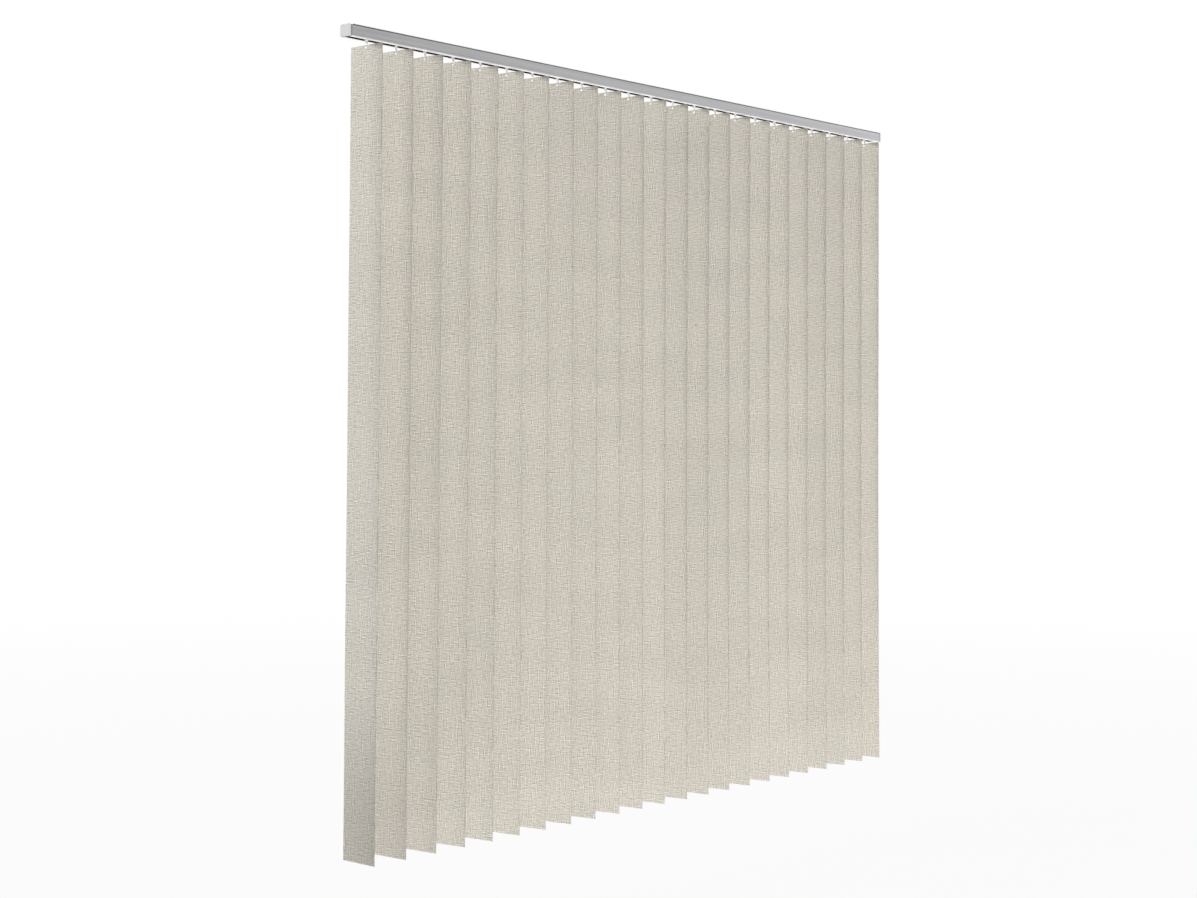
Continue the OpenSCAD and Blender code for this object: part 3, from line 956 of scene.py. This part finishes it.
@dataclass
class Slat:
    """Strip of stiff cloth with a punched hole, on its hanger."""

    number: int
    width: float = 0.127
    length: float = 2.155
    thickness: float = 0.0007
    pitch: float = 0.113
    top: float = -0.045
    hole_drop: float = 0.0075
    hole_radius: float = 0.0035
    hole_margin: float = 0.006
    columns: int = 18
    rows: int = 90
    border: float = 0.0004
    roll_step: float = 0.41
    smooth: float = 3.2

    def __post_init__(self) -> None:
        """Works out the slat's own hang."""
        self.fall = ClothHang(self.number)

    @property
    def name(self) -> str:
        """Returns the slat's name, which is also its body's."""
        return f"slat_{self.number:02d}"

    @property
    def x(self) -> float:
        """Returns the hanger's place along the rail."""
        return (self.number - (SLAT_COUNT + 1) / 2) * self.pitch

    @property
    def hole(self) -> float:
        """Returns the height of the hole's centre."""
        return self.top - self.hole_drop

    def build(self, cloth: list[Material], plastic: Material) -> None:
        """Builds the cloth and its hanger.

        Args:
            cloth: Finishes of the cloth's faces and of its cut edge.
            plastic: The hanger's material.
        """
        holder = Hanger(self.name, self.x, self.fall.angle(0.0), self.top, self.thickness / 2, self.hole)
        hanger = holder.build(plastic)
        strip = self.build_cloth(cloth)

    def build_cloth(self, finishes: list[Material]) -> bpy.types.Object:
        """Builds the cloth: a cut strip, punched, mapped and hung.

        Args:
            finishes: Finishes of its faces and of its cut edge.

        Returns:
            The cloth's object.
        """
        piece = Piece(self.name + "_cloth")
        bm = piece.bm
        upright = Matrix(((0.0, 0.0, -1.0, 0.0), (-self.width, 0.0, 0.0, 0.0),
                          (0.0, self.length, 0.0, self.top - self.length / 2), (0.0, 0.0, 0.0, 1.0)))
        bmesh.ops.create_grid(bm, x_segments=self.columns, y_segments=self.rows, size=0.5)
        bmesh.ops.transform(bm, matrix=upright, verts=bm.verts)
        self.punch(bm)
        self.trim(bm)
        self.draw_map(bm)
        self.hang(bm)
        strip = piece.place(finishes, self.name, Slot.CLOTH, (self.name,), self.smooth, False)
        skin = strip.modifiers.new("thickness", "SOLIDIFY")
        skin.thickness = self.thickness
        skin.offset = 0.0
        skin.material_offset_rim = 1
        return strip

    def punch(self, bm: bmesh.types.BMesh) -> None:
        """Cuts the hole for the hanger's peg.

        Args:
            bm: The cloth, still flat.
        """
        middle, up = Vector((0.0, 0.0, self.hole)), Vector((0.0, 0.0, 1.0))
        for rise in (-self.hole_margin, 0.0, self.hole_margin):
            self.cut(bm, middle + up * rise, up)
        centre = min(bm.verts, key=lambda v: abs(v.co.y) + abs(v.co.z - self.hole))
        made = bmesh.ops.bevel(bm, geom=[centre], offset=self.hole_radius, offset_type="OFFSET",
                               affect="VERTICES", segments=4, profile=0.5, material=-1)
        rim = [v for v in made["verts"] if (v.co - middle).length < 1.2 * self.hole_radius]
        for vert in rim:
            vert.co = middle + (vert.co - middle).normalized() * self.hole_radius
        disc = [f for f in bm.faces if (f.calc_center_median() - middle).length < 100 * TINY]
        bmesh.ops.delete(bm, geom=disc, context="FACES_ONLY")

    @staticmethod
    def cut(bm: bmesh.types.BMesh, point: Vector, normal: Vector) -> None:
        """Adds a line of edges where a plane crosses the flat cloth."""
        geom = bm.verts[:] + bm.edges[:] + bm.faces[:]
        bmesh.ops.bisect_plane(bm, geom=geom, dist=TINY, plane_co=point, plane_no=normal)

    def trim(self, bm: bmesh.types.BMesh) -> None:
        """Adds a narrow border along the cut edges, so that the faces stay flat up to them.

        Args:
            bm: The cloth, still flat.
        """
        across, along = Vector((0.0, 1.0, 0.0)), Vector((0.0, 0.0, 1.0))
        side = self.width / 2 - self.border
        for place in (side, -side):
            self.cut(bm, across * place, across)
        for place in (self.top - self.length + self.border, self.top - self.border):
            self.cut(bm, along * place, along)

    def draw_map(self, bm: bmesh.types.BMesh) -> None:
        """Lays the cloth's own map on it in metres; each slat is cut from another part of the roll.

        Args:
            bm: The cloth, still flat.
        """
        layer = bm.loops.layers.uv.new("cloth")
        for face in bm.faces:
            for loop in face.loops:
                place = loop.vert.co
                loop[layer].uv = (self.roll_step * self.number - place.y, place.z - self.top)

    def hang(self, bm: bmesh.types.BMesh) -> None:
        """Hangs the cloth and stores its random tone and painted shade.

        Args:
            bm: The cloth, still flat.
        """
        tone_and_painted_shade = bm.verts.layers.float.new("tone_and_painted_shade")
        for vert in bm.verts:
            drop = (self.top - vert.co.z) / self.length
            share = 0.5 - vert.co.y / self.width
            vert[tone_and_painted_shade] = self.fall.tone_and_painted_shade(drop, share)
            angle = self.fall.angle(drop)
            flat = Vector((self.fall.bow(drop, share), vert.co.y))
            vert.co.x = self.x + flat.x * math.cos(angle) - flat.y * math.sin(angle)
            vert.co.y = flat.x * math.sin(angle) + flat.y * math.cos(angle)


@dataclass
class Studio:
    """Floor, cards, lights and camera."""

    floor_height: float = -2.32
    floor_size: float = 80.0
    cards: tuple[Card, ...] = (
        Card("room_card", 0.36, 14.0, (8.0, -9.0, 1.5), "X"),
        Card("side_card", 0.10, 22.0, (-20.0, 0.0, 1.5), "Y"),
        Card("floor_flag", 0.02, 1.0, (-1.8, -0.3, -2.36)),
        Card("foot_flag", 0.02, 1.0, (-2.5, 1.28, -1.94), "Y"),
    )
    lamps: tuple[Lamp, ...] = (
        Lamp("key_light", (-0.57, 0.78, 0.26), 14.0, 2.25),
        Lamp("bounce_light", (-0.60, -0.50, -0.62), 40.0, 0.8),
        Lamp("floor_light", (-0.085, -0.26, -0.96), 30.0, 2.55),
    )
    ambient: float = 0.57
    horizon: float = 0.01
    eye: Triple = (-5.341, -4.088, -1.059)
    yaw: float = math.radians(51.225)
    pitch: float = math.radians(1.984)
    roll: float = math.radians(0.321)
    focal_pixels: float = 2181.4
    image_width: float = 1197.0
    image_height: float = 898.0
    axis_row: float = 353.2
    sensor: float = 36.0
    sight: float = 200.0

    def build(self) -> None:
        """Builds the whole studio."""
        scene = bpy.context.scene
        scene.view_settings.view_transform = "Standard"
        self.add_world(scene)
        level = Matrix.Translation((0.0, 0.0, self.floor_height))
        floor = self.add_plane("studio_floor", StudioFloor().material(), self.floor_size, level)
        floor.visible_shadow = False
        for card in self.cards:
            plane = self.add_plane(card.name, card.material(), card.size, card.place())
            plane.visible_camera = False
        for lamp in self.lamps:
            lamp.add()
        self.add_camera(scene)

    def add_world(self, scene: bpy.types.Scene) -> None:
        """Adds even light from above, and white where the camera, metal or glass sees it.

        Args:
            scene: The scene.
        """
        scene.world = bpy.data.worlds.new("studio_world")
        bench = NodeBench(scene.world)
        height = bench.axes(bench.add("ShaderNodeTexCoord").outputs["Generated"])[2]
        sky = bench.span(height, -self.horizon, self.horizon, 0.0, self.ambient)
        level = bench.span(bench.seen(), 0.0, 1.0, sky, 1.0)
        glow = bench.add("ShaderNodeBackground", {"Color": GLOW, "Strength": level})
        bench.add("ShaderNodeOutputWorld", {"Surface": glow.outputs[0]})

    @staticmethod
    def add_plane(name: str, finish: Material, size: float, place: Matrix) -> bpy.types.Object:
        """Adds a flat sheet of the stage.

        Args:
            name: Its name.
            finish: Its material.
            size: Its side.
            place: Where it stands.

        Returns:
            The sheet's object.
        """
        bm = bmesh.new()
        bmesh.ops.create_grid(bm, x_segments=4, y_segments=4, size=size / 2, matrix=place)
        mesh = bpy.data.meshes.new(name)
        bm.to_mesh(mesh)
        bm.free()
        mesh.materials.append(finish)
        plane = bpy.data.objects.new(name, mesh)
        bpy.context.scene.collection.objects.link(plane)
        return plane

    def add_camera(self, scene: bpy.types.Scene) -> None:
        """Adds the camera at the photograph's place.

        Args:
            scene: The scene.
        """
        lens = bpy.data.cameras.new("photo_camera")
        lens.sensor_fit = "HORIZONTAL"
        lens.sensor_width = self.sensor
        lens.lens = self.focal_pixels / self.image_width * self.sensor
        lens.shift_y = (self.axis_row - self.image_height / 2) / self.image_width
        lens.clip_end = self.sight
        camera = bpy.data.objects.new("photo_camera", lens)
        sy, cy = math.sin(self.yaw), math.cos(self.yaw)
        sp, cp = math.sin(self.pitch), math.cos(self.pitch)
        look = Vector((cp * sy, cp * cy, sp))
        level = Vector((cy, -sy, 0.0))
        rise = Vector((-sp * sy, -sp * cy, cp))
        right = level * math.cos(self.roll) + rise * math.sin(self.roll)
        up = rise * math.cos(self.roll) - level * math.sin(self.roll)
        turn = Matrix((right, up, -look)).transposed().to_4x4()
        camera.matrix_world = Matrix.Translation(self.eye) @ turn
        scene.collection.objects.link(camera)
        scene.camera = camera


def main() -> None:
    """Builds the studio, then the blind's pieces in order."""
    logging.basicConfig(level=logging.INFO, format="%(name)s: %(message)s")
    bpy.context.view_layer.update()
    Studio().build()
    cap_plastic = MouldedPlastic("cap_plastic", CAP_TONE).material()
    white_plastic = MouldedPlastic("white_plastic", WHITE_TONE).material()
    Headrail().build(AnodisedAluminium().material())
    for side in Side:
        EndCap(side).build(cap_plastic)
    dress_solid("control_housing", white_plastic)
    dress_solid("tilt_rod", MillAluminium().material())
    dress_solid("rod_gear", white_plastic)
    dress_solid("chain_wheel", white_plastic)
    moulding = CarrierMoulding().material()
    cloth = [LinenCloth().material("linen_cloth"),
             LinenCloth(edge_shade=CUT_EDGE_SHADE).material("linen_cut_edge")]
    for number in range(1, SLAT_COUNT + 1):
        dress_solid(f"carrier_{number:02d}", moulding)
        Slat(number).build(cloth, white_plastic)


if __name__ == "__main__":
    main()
